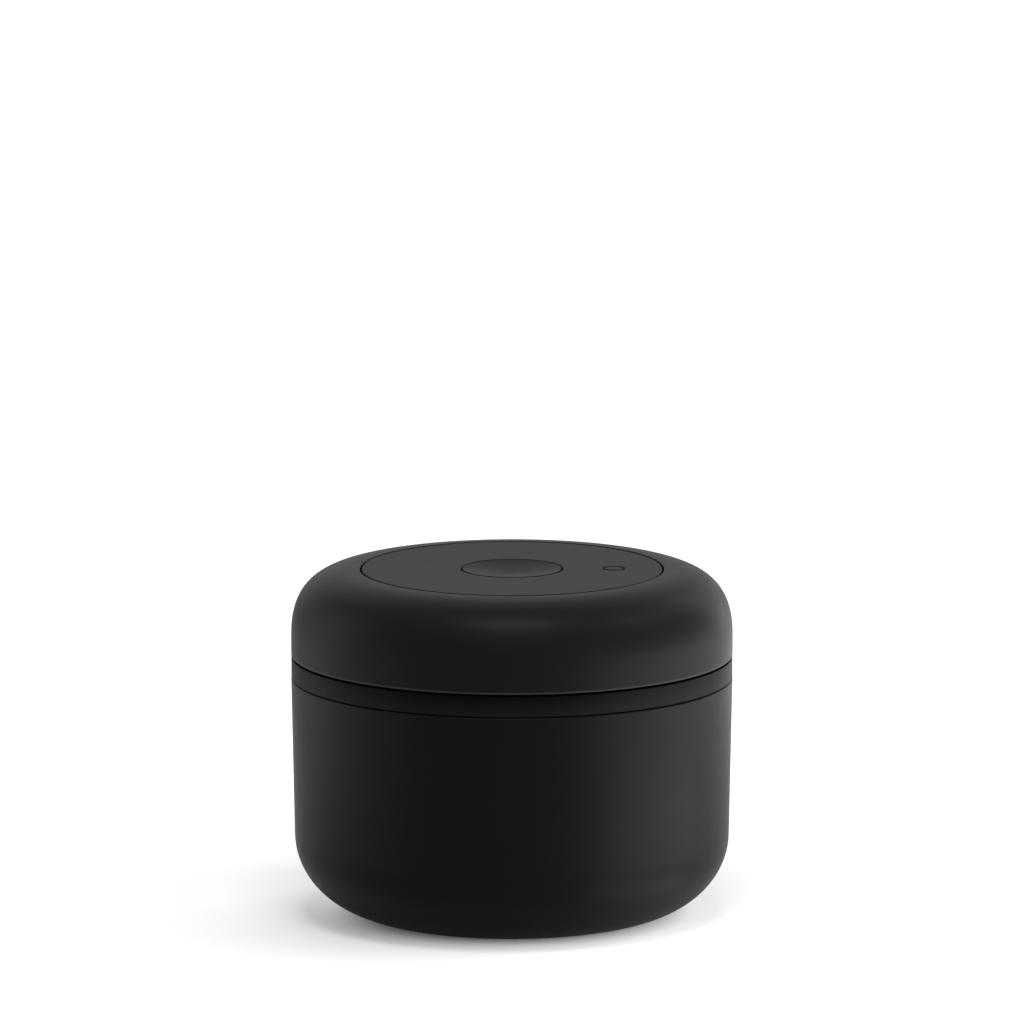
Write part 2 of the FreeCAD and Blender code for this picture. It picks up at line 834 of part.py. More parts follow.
def release_button():
    """Dished button with a flange under the disc, a skirt in the cup and a boss for the stem."""
    z_flange_up = z_disc_bottom - face_clearance
    z_flange_down = z_flange_up - button_flange_height
    z_skirt = z_flange_down - button_skirt_drop
    z_dish = z_top - button_dish
    z_under = z_dish - button_cap
    skirt_inner = button_radius - button_skirt_wall
    z_boss = z_cup_floor + button_travel + face_clearance
    boss_outer = stem_radius + seat_clearance + stem_boss_wall
    z_socket = z_under - face_clearance
    dish_edge = button_radius - button_round
    return turned(
        [
            (0, z_socket),
            (stem_radius + seat_clearance, z_socket),
            (stem_radius + seat_clearance, z_boss),
            (boss_outer, z_boss),
            (boss_outer, z_under),
            (skirt_inner, z_under),
            (skirt_inner, z_skirt),
            (button_radius, z_skirt),
            (button_radius, z_flange_down),
            (button_flange_radius, z_flange_down),
            (button_flange_radius, z_flange_up),
            (button_radius, z_flange_up),
            (button_radius, z_top - button_round),
            Blend((button_radius, z_top), round_share, round_share),
            (dish_edge, z_top),
            Blend((dish_edge * dish_middle_share, z_dish), dish_middle_share, dish_middle_share),
            (0, z_dish),
        ]
    )


def release_stem():
    """Stem from the button down through the chimney, with a flange under the seal."""
    z_seal_bottom = z_plate_bottom - face_clearance - release_seal_height
    z_foot = z_seal_bottom - stem_flange_height
    z_tip = z_top - button_dish - button_cap - face_clearance
    return turned(
        [
            (0, z_foot),
            (stem_flange_radius, z_foot),
            (stem_flange_radius, z_seal_bottom),
            (stem_radius, z_seal_bottom),
            (stem_radius, z_tip),
            (0, z_tip),
        ]
    )


def release_seal():
    """Silicone washer on the stem that closes the chimney from below."""
    top = z_plate_bottom - face_clearance
    return tube(stem_radius + seat_clearance, release_seal_radius, top - release_seal_height, top)


def arc_to(start, apex, end):
    """Arc that leaves its start towards the apex and reaches its end from there."""
    middle = (start + end) / 2
    rise = apex - middle
    half_chord = (end - start).Length / 2
    bow = half_chord * math.tan(math.atan2(rise.Length, half_chord) / 2)
    return Part.Arc(start, middle + rise * (bow / rise.Length), end).toShape()


def biarc(start, start_way, end, end_way):
    """Two arcs, tangent to each other and to the ways given at both ends."""
    chord = end - start
    spread = 2 * (1 - start_way.dot(end_way))
    along = chord.dot(start_way + end_way)
    reach = (math.sqrt(along * along + spread * chord.dot(chord)) - along) / spread
    first_apex = start + start_way * reach
    last_apex = end - end_way * reach
    join = (first_apex + last_apex) / 2
    return [arc_to(start, first_apex, join), arc_to(join, last_apex, end)]


def coil(middle_radius, wire_radius, bottom, top, turns):
    """Compression spring: one round wire swept along tangent arcs that climb round the axis."""
    rise_per_radian = (top - bottom - 2 * wire_radius) / (turns * math.radians(FULL_TURN))
    points = []
    ways = []
    for index in range(round(turns * coil_steps_per_turn) + 1):
        angle = math.radians(index * FULL_TURN / coil_steps_per_turn)
        outwards = FreeCAD.Vector(math.cos(angle), math.sin(angle), 0)
        lift = AXIS * (bottom + wire_radius + rise_per_radian * angle)
        points.append(outwards * middle_radius + lift)
        ways.append((AXIS.cross(outwards) * middle_radius + AXIS * rise_per_radian).normalize())
    arcs = []
    for index in range(len(points) - 1):
        arcs += biarc(points[index], ways[index], points[index + 1], ways[index + 1])
    section = Part.Wire(Part.makeCircle(wire_radius, points[0], ways[0]))
    return Part.Wire(arcs).makePipeShell([section], True, False)


def button_spring():
    z_under = z_top - button_dish - button_cap
    return coil(
        button_coil_radius,
        button_wire_radius,
        z_cup_floor + face_clearance,
        z_under - face_clearance,
        button_coil_turns,
    )


def indicator_levels():
    """Top of the tube's shoulder and underside of the indicator's cap."""
    z_cap_bottom = z_top - cap_height
    return z_cap_bottom - spring_room, z_cap_bottom


def diaphragm_top():
    """Top of the diaphragm at rest, with room under it for the indicator's drop."""
    return z_plate_top + indicator_travel + diaphragm_wall + diaphragm_room


def indicator_tube():
    """Tube from the lid base to the disc, with a shoulder for the spring and a seat for the sleeve."""
    z_shoulder, _ = indicator_levels()
    z_sleeve = z_disc_bottom - sleeve_height
    z_bottom = z_plate_top + diaphragm_wall
    rod_hole = rod_radius + running_clearance
    body = turned(
        [
            (tube_bore, z_bottom),
            (tube_radius, z_bottom),
            (tube_radius, z_disc_bottom),
            (sleeve_radius + seat_clearance, z_disc_bottom),
            (sleeve_radius + seat_clearance, z_sleeve),
            (tube_bore, z_sleeve),
            (tube_bore, z_shoulder),
            (rod_hole, z_shoulder),
            (rod_hole, z_shoulder - tube_shoulder),
            (tube_bore, z_shoulder - tube_shoulder),
        ]
    )
    return placed(body, indicator_offset, 0)


def indicator_sleeve():
    """Coloured sleeve that shows once the indicator has dropped."""
    sleeve = tube(indicator_hole, sleeve_radius, z_disc_bottom - sleeve_height, z_disc_bottom)
    return placed(sleeve, indicator_offset, 0)


def indicator_rod():
    """Rod on the diaphragm, with a collar that stops it under the tube's shoulder."""
    z_shoulder, _ = indicator_levels()
    z_collar_top = z_shoulder - tube_shoulder - face_clearance
    z_collar = z_collar_top - rod_collar_height
    collar_radius = tube_bore - running_clearance
    z_bottom = diaphragm_top() + face_clearance
    z_tip = z_top - cap_cover - seat_clearance
    body = turned(
        [
            (0, z_bottom),
            (rod_radius, z_bottom),
            (rod_radius, z_collar),
            (collar_radius, z_collar),
            (collar_radius, z_collar_top),
            (rod_radius, z_collar_top),
            (rod_radius, z_tip),
            (0, z_tip),
        ]
    )
    return placed(body, indicator_offset, 0)


def indicator_cap():
    """The dot that shows in the disc, pressed onto the rod."""
    _, z_cap_bottom = indicator_levels()
    z_socket = z_top - cap_cover
    bore = rod_radius + seat_clearance
    body = turned(
        [
            (0, z_socket),
            (bore, z_socket),
            (bore, z_cap_bottom),
            (indicator_radius, z_cap_bottom),
            (indicator_radius, z_top, disc_round),
            (0, z_top),
        ]
    )
    return placed(body, indicator_offset, 0)


def indicator_spring():
    z_shoulder, z_cap_bottom = indicator_levels()
    spring = coil(
        indicator_coil_radius,
        indicator_wire_radius,
        z_shoulder + face_clearance,
        z_cap_bottom - face_clearance,
        indicator_coil_turns,
    )
    return placed(spring, indicator_offset, 0)


def indicator_diaphragm():
    """Moulded hat that the vessel's vacuum draws down, clamped by its brim under the tube."""
    hat_radius = tube_bore - diaphragm_gap
    hat_bore = hat_radius - diaphragm_wall
    z_brim = z_plate_top + diaphragm_wall
    z_hat = diaphragm_top()
    body = turned(
        [
            (hat_bore, z_plate_top),
            (tube_radius, z_plate_top),
            (tube_radius, z_brim),
            (hat_radius, z_brim),
            (hat_radius, z_hat),
            (0, z_hat),
            (0, z_hat - diaphragm_wall),
            (hat_bore, z_hat - diaphragm_wall),
        ]
    )
    return placed(body, indicator_offset, 0)


def filter_mesh():
    top = z_plate_bottom - filter_gap
    outer = cover_radius - cover_wall - seat_clearance
    return tube(filter_hole + cover_wall + seat_clearance, outer, top - filter_thickness, top)


def filter_cover():
    """Slotted cup that holds the filter up against the lid base, open round the release seal."""
    cup = turned(
        [
            (filter_hole, z_cover_bottom),
            (cover_radius, z_cover_bottom),
            (cover_radius, z_plate_bottom),
            (cover_radius - cover_wall, z_plate_bottom),
            (cover_radius - cover_wall, z_cover_top),
            (filter_hole + cover_wall, z_cover_top),
            (filter_hole + cover_wall, z_plate_bottom - filter_gap),
            (filter_hole, z_plate_bottom - filter_gap),
        ]
    )
    slot_start = filter_hole + cover_wall + cover_slot_margin
    slot_end = cover_radius - cover_wall - cover_slot_margin
    half_width = cover_slot_width / 2
    z_from = z_cover_bottom - overrun
    z_to = z_cover_top + overrun
    run = bar(slot_start, slot_end, cover_slot_width, z_from, z_to)
    ends = [placed(rod(half_width, z_from, z_to), place, 0) for place in (slot_start, slot_end)]
    slots = ring_of(run.fuse(ends), 0, cover_slot_count, 0)
    return cup.cut(slots).removeSplitter()


def screw_pilot(top):
    """Blind hole for a screw, below a face."""
    return rod(screw_radius + seat_clearance, top - screw_grip - face_clearance, top + overrun)


def countersink(top, bottom):
    """Through hole for a countersunk screw whose head is flush with a face."""
    head = screw_head_radius + seat_clearance
    shank = screw_radius + seat_clearance
    return turned(
        [
            (0, bottom - overrun),
            (shank, bottom - overrun),
            (shank, top - screw_head_height),
            (head, top),
            (head, top + overrun),
            (0, top + overrun),
        ]
    )


def countersunk_screw(top, seat):
    """Flat-headed screw from a face down into the piece below its seat."""
    z_socket = top - screw_socket_depth
    return turned(
        [
            (0, seat - screw_grip),
            (screw_radius, seat - screw_grip),
            (screw_radius, top - screw_head_height),
            (screw_head_radius, top),
            (screw_socket_radius, top),
            (screw_socket_radius, z_socket),
            (0, z_socket),
        ]
    )


def pan_screw(seat, grip_from):
    """Round-headed screw on a seat, gripping the piece below."""
    top = seat + screw_head_height
    z_socket = top - screw_socket_depth
    return turned(
        [
            (0, grip_from - screw_grip),
            (screw_radius, grip_from - screw_grip),
            (screw_radius, seat),
            (screw_head_radius, seat),
            (screw_head_radius, top, button_round),
            (screw_socket_radius, top),
            (screw_socket_radius, z_socket),
            (0, z_socket),
        ]
    )


def dome_screws():
    screw = countersunk_screw(z_flange_top, z_flange_bottom)
    return Part.Compound(ring_of(screw, flange_screw_circle, dome_screw_count, post_start_angle))


def carrier_screws():
    screw = countersunk_screw(z_disc_bottom, z_carrier_bottom)
    return Part.Compound(ring_of(screw, post_circle, arm_count, post_start_angle))


def cylinder_screws():
    z_lug = z_plate_top + boss_height
    screw = pan_screw(z_lug + lug_thickness, z_lug)
    return Part.Compound(ring_of(screw, boss_circle, arm_count, boss_start_angle))


PIECES = [
    canister_shell,
    lid_base,
    collar_ring,
    lid_gasket,
    pump_cylinder,
    cylinder_seal_ring,
    cylinder_screws,
    glide_washer,
    inlet_valve,
    filter_mesh,
    filter_cover,
    top_carrier,
    carrier_screws,
    top_disc,
    indicator_tube,
    indicator_sleeve,
    indicator_spring,
    indicator_diaphragm,
    button_spring,
    dome_shell,
    cam_sleeve,
    dome_screws,
    pump_piston,
    piston_seal,
    hub_seal_ring,
    exhaust_valve,
    cam_pins,
    release_button,
    release_stem,
    release_seal,
    indicator_rod,
    indicator_cap,
]


def main():
    os.makedirs("parts", exist_ok=True)
    for piece in PIECES:
        shape = piece()
        shape.exportStep("parts/" + piece.__name__ + ".step")
        print(piece.__name__, len(shape.Solids), "solids", round(shape.Volume, 1), "mm3", shape.isValid())


main()
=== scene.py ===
# %% [markdown]
# # A coffee canister with a twist-pump lid
# The imported model comes in as a fixed frame: every solid is already in its place, in metres, with +Z up.
# Its curved faces are finely divided, so most pieces keep their own mesh here and only need a finish.

# %% Load the imported canister
import math

import bpy
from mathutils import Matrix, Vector


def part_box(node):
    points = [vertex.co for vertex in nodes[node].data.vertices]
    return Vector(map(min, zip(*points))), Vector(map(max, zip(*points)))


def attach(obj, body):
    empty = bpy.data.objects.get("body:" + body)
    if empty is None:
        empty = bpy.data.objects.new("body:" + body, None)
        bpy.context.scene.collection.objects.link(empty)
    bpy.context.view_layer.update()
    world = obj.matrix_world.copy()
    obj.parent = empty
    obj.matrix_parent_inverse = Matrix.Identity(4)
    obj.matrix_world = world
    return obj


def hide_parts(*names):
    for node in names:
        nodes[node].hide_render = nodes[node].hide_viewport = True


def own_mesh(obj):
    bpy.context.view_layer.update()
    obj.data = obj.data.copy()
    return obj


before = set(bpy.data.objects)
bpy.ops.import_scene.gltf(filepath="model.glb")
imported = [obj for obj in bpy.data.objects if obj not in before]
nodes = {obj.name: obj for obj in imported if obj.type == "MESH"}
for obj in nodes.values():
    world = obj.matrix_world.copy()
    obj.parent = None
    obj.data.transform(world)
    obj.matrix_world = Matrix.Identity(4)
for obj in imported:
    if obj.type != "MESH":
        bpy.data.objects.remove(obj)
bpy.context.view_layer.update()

MM = 0.001
bpy.ops.object.select_all(action="DESELECT")

# %% [markdown]
# ## Tools for making a finish
# A finish is a Principled shader plus a few texture nodes. Values that are the same all over go straight
# onto the shader's sockets. What varies comes from noise that reads Object coordinates, so that the pattern
# has a real size in metres and moves with its piece.

# %% Start a finish and add nodes to it
def new_finish(name, colour, roughness, metallic=0.0, specular=0.5):
    """Material whose Principled shader starts from these plain values."""
    finish = bpy.data.materials.new(name)
    finish.use_nodes = True
    shader = finish.node_tree.nodes["Principled BSDF"]
    shader.inputs["Base Color"].default_value = (*colour, 1)
    shader.inputs["Roughness"].default_value = roughness
    shader.inputs["Metallic"].default_value = metallic
    shader.inputs["Specular IOR Level"].default_value = specular
    return finish


def add_node(finish, kind, inputs=None, **settings):
    """Node with its settings and its unlinked inputs set."""
    node = finish.node_tree.nodes.new(kind)
    for name, value in settings.items():
        setattr(node, name, value)
    for name, value in (inputs or {}).items():
        node.inputs[name].default_value = value
    return node


def link(finish, source, output, target, socket):
    """Join an output of one node to a socket of another, each given by name or number."""
    finish.node_tree.links.new(source.outputs[output], target.inputs[socket])


def shader_of(finish):
    return finish.node_tree.nodes["Principled BSDF"]


def place_of(finish):
    """The one Texture Coordinate node of a finish."""
    for node in finish.node_tree.nodes:
        if node.type == "TEX_COORD":
            return node
    return add_node(finish, "ShaderNodeTexCoord")


# %% [markdown]
# Three small recipes do most of the work. **Mottle** drifts the colour between two near shades, **satin**
# does the same to the roughness, and **grain** lifts a fine bump out of noise. Each takes the size of its
# pattern in metres. Noise repeats about once per unit, so the scale is one over that size. Its values lie
# mostly between 0.3 and 0.7, so that span is stretched over the two shades.

# %% Recipes for colour, roughness and bump
NOISE_LOW, NOISE_HIGH = 0.3, 0.7


def noise_of(finish, size, detail=2.0):
    noise = add_node(finish, "ShaderNodeTexNoise", {"Scale": 1 / size, "Detail": detail})
    link(finish, place_of(finish), "Object", noise, "Vector")
    return noise


def mottle(finish, size, dark, light):
    """Colour that drifts between two shades."""
    ramp = add_node(finish, "ShaderNodeValToRGB")
    ramp.color_ramp.elements[0].position = NOISE_LOW
    ramp.color_ramp.elements[0].color = (*dark, 1)
    ramp.color_ramp.elements[1].position = NOISE_HIGH
    ramp.color_ramp.elements[1].color = (*light, 1)
    link(finish, noise_of(finish, size), "Fac", ramp, "Fac")
    link(finish, ramp, "Color", shader_of(finish), "Base Color")
    return ramp


def satin(finish, size, low, high):
    """Roughness that drifts between two values."""
    span = {"From Min": NOISE_LOW, "From Max": NOISE_HIGH, "To Min": low, "To Max": high}
    spread = add_node(finish, "ShaderNodeMapRange", span)
    link(finish, noise_of(finish, size), "Fac", spread, "Value")
    link(finish, spread, "Result", shader_of(finish), "Roughness")


def grain(finish, size, depth, detail=1.0):
    """Fine bump of a given grain size and depth."""
    bump = add_node(finish, "ShaderNodeBump", {"Strength": 1.0, "Distance": depth})
    link(finish, noise_of(finish, size, detail), "Fac", bump, "Height")
    link(finish, bump, "Normal", shader_of(finish), "Normal")


def wear(finish, names):
    """Put one finish on the named solids."""
    for name in names:
        slots = nodes[name].data.materials
        slots.clear()
        slots.append(finish)
    print(finish.name, "on", ", ".join(names))


# %% [markdown]
# A fourth recipe blends a second colour in by height. A Mix node has a set of sockets for every kind of
# value that it can mix, under the same names, so its two inputs and its result are picked by number.

# %% Recipe for a colour that fades with height
COLOUR_A, COLOUR_B, COLOUR_MIXED = 6, 7, 2
NUMBER_A, NUMBER_B, NUMBER_MIXED = 2, 3, 0


def fade_by_height(finish, tone, colour, full_at, gone_at):
    """Blend a second colour over the tone, by height above the foot."""
    level = add_node(finish, "ShaderNodeSeparateXYZ")
    span = {"From Min": full_at, "From Max": gone_at, "To Min": 1.0, "To Max": 0.0}
    fade = add_node(finish, "ShaderNodeMapRange", span)
    blend = add_node(finish, "ShaderNodeMix", {COLOUR_B: (*colour, 1)}, data_type="RGBA")
    link(finish, place_of(finish), "Object", level, "Vector")
    link(finish, level, "Z", fade, "Value")
    link(finish, fade, "Result", blend, "Factor")
    link(finish, tone, "Color", blend, COLOUR_A)
    link(finish, blend, COLOUR_MIXED, shader_of(finish), "Base Color")


# %% [markdown]
# ## The lid's soft blacks
# The dome is a black plastic with a soft matt skin. It throws back very little light straight on and a
# broad, dull sheen at a shallow angle, which is what draws the shape of its shoulder. That asks for a low
# specular level and a middling roughness, over a colour that is not quite black. Its lower edge is painted
# a little paler: a painted highlight, where the edge catches light.

# %% Soft black of the dome
soft_black = new_finish("soft_black", (0.0056, 0.0056, 0.0057), 0.43, specular=0.039)
skin_tone = mottle(soft_black, 9 * MM, (0.0054, 0.0054, 0.0055), (0.0058, 0.0058, 0.0059))
dome_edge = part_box("dome_shell")[0].z
# Painted highlight: a paler colour along the dome's lower edge, for light caught by the edge.
fade_by_height(
    soft_black, skin_tone, (0.025, 0.025, 0.0253), full_at=dome_edge + 0.35 * MM, gone_at=dome_edge + 0.6 * MM
)
satin(soft_black, 4 * MM, 0.42, 0.44)
grain(soft_black, 0.22 * MM, 0.002 * MM)
wear(soft_black, ["dome_shell"])

# %% [markdown]
# Disc, button and indicator are the same plastic with a duller surface. It is seen at a very shallow angle,
# where every change of roughness shows, so its drift stays small.

# %% Dull black of the disc and its buttons
disc_black = new_finish("disc_black", (0.0065, 0.0065, 0.0066), 0.5, specular=0.0435)
mottle(disc_black, 9 * MM, (0.0063, 0.0063, 0.0064), (0.0067, 0.0067, 0.0068))
satin(disc_black, 4 * MM, 0.495, 0.505)
grain(disc_black, 0.22 * MM, 0.002 * MM)
wear(disc_black, ["top_disc", "release_button", "indicator_cap"])

# %% [markdown]
# The fixed band is duller still. It gets darker towards the dome: a painted shade under the dome's edge.

# %% Black of the band
band_black = new_finish("band_black", (0.006, 0.006, 0.0061), 0.45, specular=0.022)
band_tone = mottle(band_black, 9 * MM, (0.0058, 0.0058, 0.0059), (0.0062, 0.0062, 0.0063))
band_top = dome_edge - 0.6 * MM
# Painted shade: a near-black colour fades in towards the top of the band, under the dome.
fade_by_height(band_black, band_tone, (0.001, 0.001, 0.001), full_at=band_top, gone_at=band_top - 4.2 * MM)
satin(band_black, 4 * MM, 0.43, 0.47)
grain(band_black, 0.3 * MM, 0.003 * MM)
wear(band_black, ["collar_ring"])

# %% [markdown]
# ## The vessel: powder coat outside, brushed steel inside
# The vessel is one drawn sheet, coated on the outside and over the rim, and left bare inside where the
# coffee lies. One shader covers both: a mask decides where the steel shows, and colour, metal, roughness
# and bump all follow it. The mask comes from the direction that the surface faces. Inner walls face the
# axis, the floor faces up, and the underside of the hem faces down but lies high. Just under the rim the
# coat takes over.

# %% Which way the vessel's surface faces
powder_coat = new_finish("powder_coat", (0.0037, 0.0037, 0.0038), 0.43, specular=0.039)
place = place_of(powder_coat)
spot = add_node(powder_coat, "ShaderNodeSeparateXYZ")
facing = add_node(powder_coat, "ShaderNodeSeparateXYZ")
outwards = add_node(powder_coat, "ShaderNodeCombineXYZ")
unit = add_node(powder_coat, "ShaderNodeVectorMath", operation="NORMALIZE")
towards = add_node(powder_coat, "ShaderNodeVectorMath", operation="DOT_PRODUCT")
link(powder_coat, place, "Object", spot, "Vector")
link(powder_coat, place, "Normal", facing, "Vector")
link(powder_coat, spot, "X", outwards, "X")
link(powder_coat, spot, "Y", outwards, "Y")
link(powder_coat, outwards, "Vector", unit, 0)
link(powder_coat, unit, "Vector", towards, 0)
link(powder_coat, place, "Normal", towards, 1)
print("nodes that read the direction:", len(powder_coat.node_tree.nodes))

# %% Mask of the bare inside
INWARDS = -0.2  # radial share of the normal, below which a face looks at the axis
UPRIGHT = 0.5  # vertical share of the normal, above which a face counts as level
HEM_LEVEL = 40 * MM  # every face that looks down above this belongs to the hem
coat_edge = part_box("canister_shell")[1].z - 0.7 * MM


def math_node(finish, operation, first, second):
    """Math node whose operands are numbers, or a node and one of its outputs."""
    node = add_node(finish, "ShaderNodeMath", operation=operation)
    for socket, value in enumerate((first, second)):
        if isinstance(value, tuple):
            link(finish, *value, node, socket)
        else:
            node.inputs[socket].default_value = value
    return (node, "Value")


faces_axis = math_node(powder_coat, "LESS_THAN", (towards, "Value"), INWARDS)
not_down = math_node(powder_coat, "GREATER_THAN", (facing, "Z"), -UPRIGHT)
faces_up = math_node(powder_coat, "GREATER_THAN", (facing, "Z"), UPRIGHT)
faces_down = math_node(powder_coat, "LESS_THAN", (facing, "Z"), -UPRIGHT)
lies_high = math_node(powder_coat, "GREATER_THAN", (spot, "Z"), HEM_LEVEL)
below_rim = math_node(powder_coat, "LESS_THAN", (spot, "Z"), coat_edge)
wall = math_node(powder_coat, "MULTIPLY", faces_axis, not_down)
hem = math_node(powder_coat, "MULTIPLY", faces_down, lies_high)
inner = math_node(powder_coat, "MAXIMUM", math_node(powder_coat, "MAXIMUM", wall, hem), faces_up)
bare = math_node(powder_coat, "MULTIPLY", inner, below_rim)
print("bare steel below", round(coat_edge, 4))

# %% [markdown]
# Steel that was polished while it turned has fine rings. Noise gets them if it changes fast along the
# profile, which radius plus height measures on floor, corner and wall alike, and slowly across it.

# %% Rings of the brushed steel
CHANGES_ACROSS = 90.0  # per metre
CHANGES_ALONG = 5200.0  # per metre
reach = add_node(powder_coat, "ShaderNodeVectorMath", operation="LENGTH")
link(powder_coat, outwards, "Vector", reach, 0)
along = math_node(powder_coat, "ADD", (reach, "Value"), (spot, "Z"))
rings_at = add_node(powder_coat, "ShaderNodeCombineXYZ")
for axis in "XY":
    link(powder_coat, *math_node(powder_coat, "MULTIPLY", (spot, axis), CHANGES_ACROSS), rings_at, axis)
link(powder_coat, *math_node(powder_coat, "MULTIPLY", along, CHANGES_ALONG), rings_at, "Z")
rings = add_node(powder_coat, "ShaderNodeTexNoise", {"Scale": 1.0, "Detail": 3.0})
link(powder_coat, rings_at, "Vector", rings, "Vector")
print("rings every", round(1 / CHANGES_ALONG / MM, 2), "mm")

# %% [markdown]
# Now the mask chooses between two sets of values. Coat and steel each have a colour, a roughness and a
# relief of their own, and a Mix node for each of these takes the coat's where the mask is 0 and the steel's
# where it is 1. The mask itself is the metallic value.

# %% Colour of coat and steel
def two_tone(finish, noise, dark, light):
    """Ramp from a dark to a light shade over the whole span of a noise."""
    ramp = add_node(finish, "ShaderNodeValToRGB")
    ramp.color_ramp.elements[0].color = (*dark, 1)
    ramp.color_ramp.elements[1].color = (*light, 1)
    link(finish, noise, "Fac", ramp, "Fac")
    return ramp


coat_noise = noise_of(powder_coat, 9 * MM)
coat_tone = two_tone(powder_coat, coat_noise, (0.0033, 0.0033, 0.0034), (0.0041, 0.0041, 0.0042))
steel_tone = two_tone(powder_coat, rings, (0.42, 0.42, 0.425), (0.62, 0.62, 0.625))
tone = add_node(powder_coat, "ShaderNodeMix", data_type="RGBA")
link(powder_coat, *bare, tone, "Factor")
link(powder_coat, coat_tone, "Color", tone, COLOUR_A)
link(powder_coat, steel_tone, "Color", tone, COLOUR_B)
link(powder_coat, tone, COLOUR_MIXED, shader_of(powder_coat), "Base Color")
link(powder_coat, *bare, shader_of(powder_coat), "Metallic")

# %% Roughness and bump of coat and steel
coat_rough = add_node(powder_coat, "ShaderNodeMapRange", {"To Min": 0.39, "To Max": 0.47})
link(powder_coat, noise_of(powder_coat, 4 * MM), "Fac", coat_rough, "Value")
steel_rough = add_node(powder_coat, "ShaderNodeMapRange", {"To Min": 0.22, "To Max": 0.42})
link(powder_coat, rings, "Fac", steel_rough, "Value")
rough = add_node(powder_coat, "ShaderNodeMix", data_type="FLOAT")
link(powder_coat, *bare, rough, "Factor")
link(powder_coat, coat_rough, "Result", rough, NUMBER_A)
link(powder_coat, steel_rough, "Result", rough, NUMBER_B)
link(powder_coat, rough, NUMBER_MIXED, shader_of(powder_coat), "Roughness")

height = add_node(powder_coat, "ShaderNodeMix", data_type="FLOAT")
peel = noise_of(powder_coat, 0.28 * MM, 1.0)
link(powder_coat, *bare, height, "Factor")
link(powder_coat, peel, "Fac", height, NUMBER_A)
link(powder_coat, rings, "Fac", height, NUMBER_B)
bump = add_node(powder_coat, "ShaderNodeBump", {"Strength": 1.0, "Distance": 0.005 * MM})
link(powder_coat, height, NUMBER_MIXED, bump, "Height")
link(powder_coat, bump, "Normal", shader_of(powder_coat), "Normal")
wear(powder_coat, ["canister_shell"])

# %% [markdown]
# ## The works inside the lid
# The hidden parts are plain mouldings in black and in natural acetal, grey silicone seals, bright steel
# screws and springs, a woven steel filter and a green sleeve. They show when the lid is off or cut open, so
# each gets its own surface: a spark-eroded texture on the black, a waxy sheen on the acetal, a matt bloom
# on the silicone and a fine grain on the steel.

# %% Black, acetal and silicone
moulded_black = new_finish("moulded_black", (0.02, 0.02, 0.021), 0.5, specular=0.2)
mottle(moulded_black, 6 * MM, (0.0185, 0.0185, 0.0195), (0.0225, 0.0225, 0.0235))
satin(moulded_black, 2 * MM, 0.48, 0.54)
grain(moulded_black, 0.35 * MM, 0.008 * MM, 3.0)
wear(moulded_black, ["lid_base", "pump_cylinder", "top_carrier", "filter_cover", "indicator_tube"])

natural_acetal = new_finish("natural_acetal", (0.74, 0.73, 0.68), 0.38, specular=0.45)
mottle(natural_acetal, 12 * MM, (0.70, 0.69, 0.64), (0.77, 0.76, 0.72))
satin(natural_acetal, 3 * MM, 0.3, 0.44)
grain(natural_acetal, 1.2 * MM, 0.008 * MM)
wear(natural_acetal, ["cam_sleeve", "pump_piston", "glide_washer", "indicator_rod", "release_stem"])

grey_silicone = new_finish("grey_silicone", (0.13, 0.13, 0.135), 0.62, specular=0.35)
mottle(grey_silicone, 5 * MM, (0.118, 0.118, 0.122), (0.142, 0.142, 0.147))
satin(grey_silicone, 1.5 * MM, 0.52, 0.72)
grain(grey_silicone, 0.5 * MM, 0.006 * MM, 2.0)
wear(grey_silicone, ["lid_gasket", "cylinder_seal_ring", "piston_seal", "hub_seal_ring", "release_seal"])
wear(grey_silicone, ["inlet_valve", "exhaust_valve"])

# %% Steel and signal sleeve
turned_steel = new_finish("turned_steel", (0.58, 0.58, 0.59), 0.3, metallic=1.0)
mottle(turned_steel, 3 * MM, (0.52, 0.52, 0.53), (0.64, 0.64, 0.65))
satin(turned_steel, 0.4 * MM, 0.2, 0.4)
grain(turned_steel, 0.15 * MM, 0.003 * MM)
wear(turned_steel, ["cylinder_screws", "carrier_screws", "dome_screws", "cam_pins"])

green_gloss = new_finish("green_gloss", (0.03, 0.3, 0.07), 0.22)
mottle(green_gloss, 2 * MM, (0.027, 0.27, 0.062), (0.034, 0.33, 0.08))
satin(green_gloss, 1 * MM, 0.18, 0.3)
grain(green_gloss, 0.8 * MM, 0.003 * MM)
wear(green_gloss, ["indicator_sleeve"])

# %% [markdown]
# The filter is a fine cloth of steel wire. Two waves across each other make the weave: where one wire rises
# the other dips, so the product of the two waves is the height of the cloth. At a scale of one, a wave
# repeats after 0.314 m, which sets the scale for the pitch of the wires.

# %% Woven filter
WAVE_LENGTH = 0.314
wire_pitch = 0.45 * MM
woven_steel = new_finish("woven_steel", (0.5, 0.5, 0.51), 0.35, metallic=1.0)
weave = add_node(woven_steel, "ShaderNodeMath", operation="MULTIPLY")
for socket, direction in enumerate("XY"):
    wires = add_node(
        woven_steel,
        "ShaderNodeTexWave",
        {"Scale": WAVE_LENGTH / wire_pitch, "Distortion": 0.0},
        wave_type="BANDS",
        bands_direction=direction,
    )
    link(woven_steel, place_of(woven_steel), "Object", wires, "Vector")
    link(woven_steel, wires, "Fac", weave, socket)
# Painted shade: the low places of the weave, between the wires, are coloured near black.
weave_tone = add_node(woven_steel, "ShaderNodeValToRGB")
weave_tone.color_ramp.elements[0].color = (0.05, 0.05, 0.052, 1)
weave_tone.color_ramp.elements[1].position = 0.35
weave_tone.color_ramp.elements[1].color = (0.56, 0.56, 0.57, 1)
link(woven_steel, weave, "Value", weave_tone, "Fac")
link(woven_steel, weave_tone, "Color", shader_of(woven_steel), "Base Color")
weave_bump = add_node(woven_steel, "ShaderNodeBump", {"Strength": 1.0, "Distance": 0.08 * MM})
link(woven_steel, weave, "Value", weave_bump, "Height")
link(woven_steel, weave_bump, "Normal", shader_of(woven_steel), "Normal")
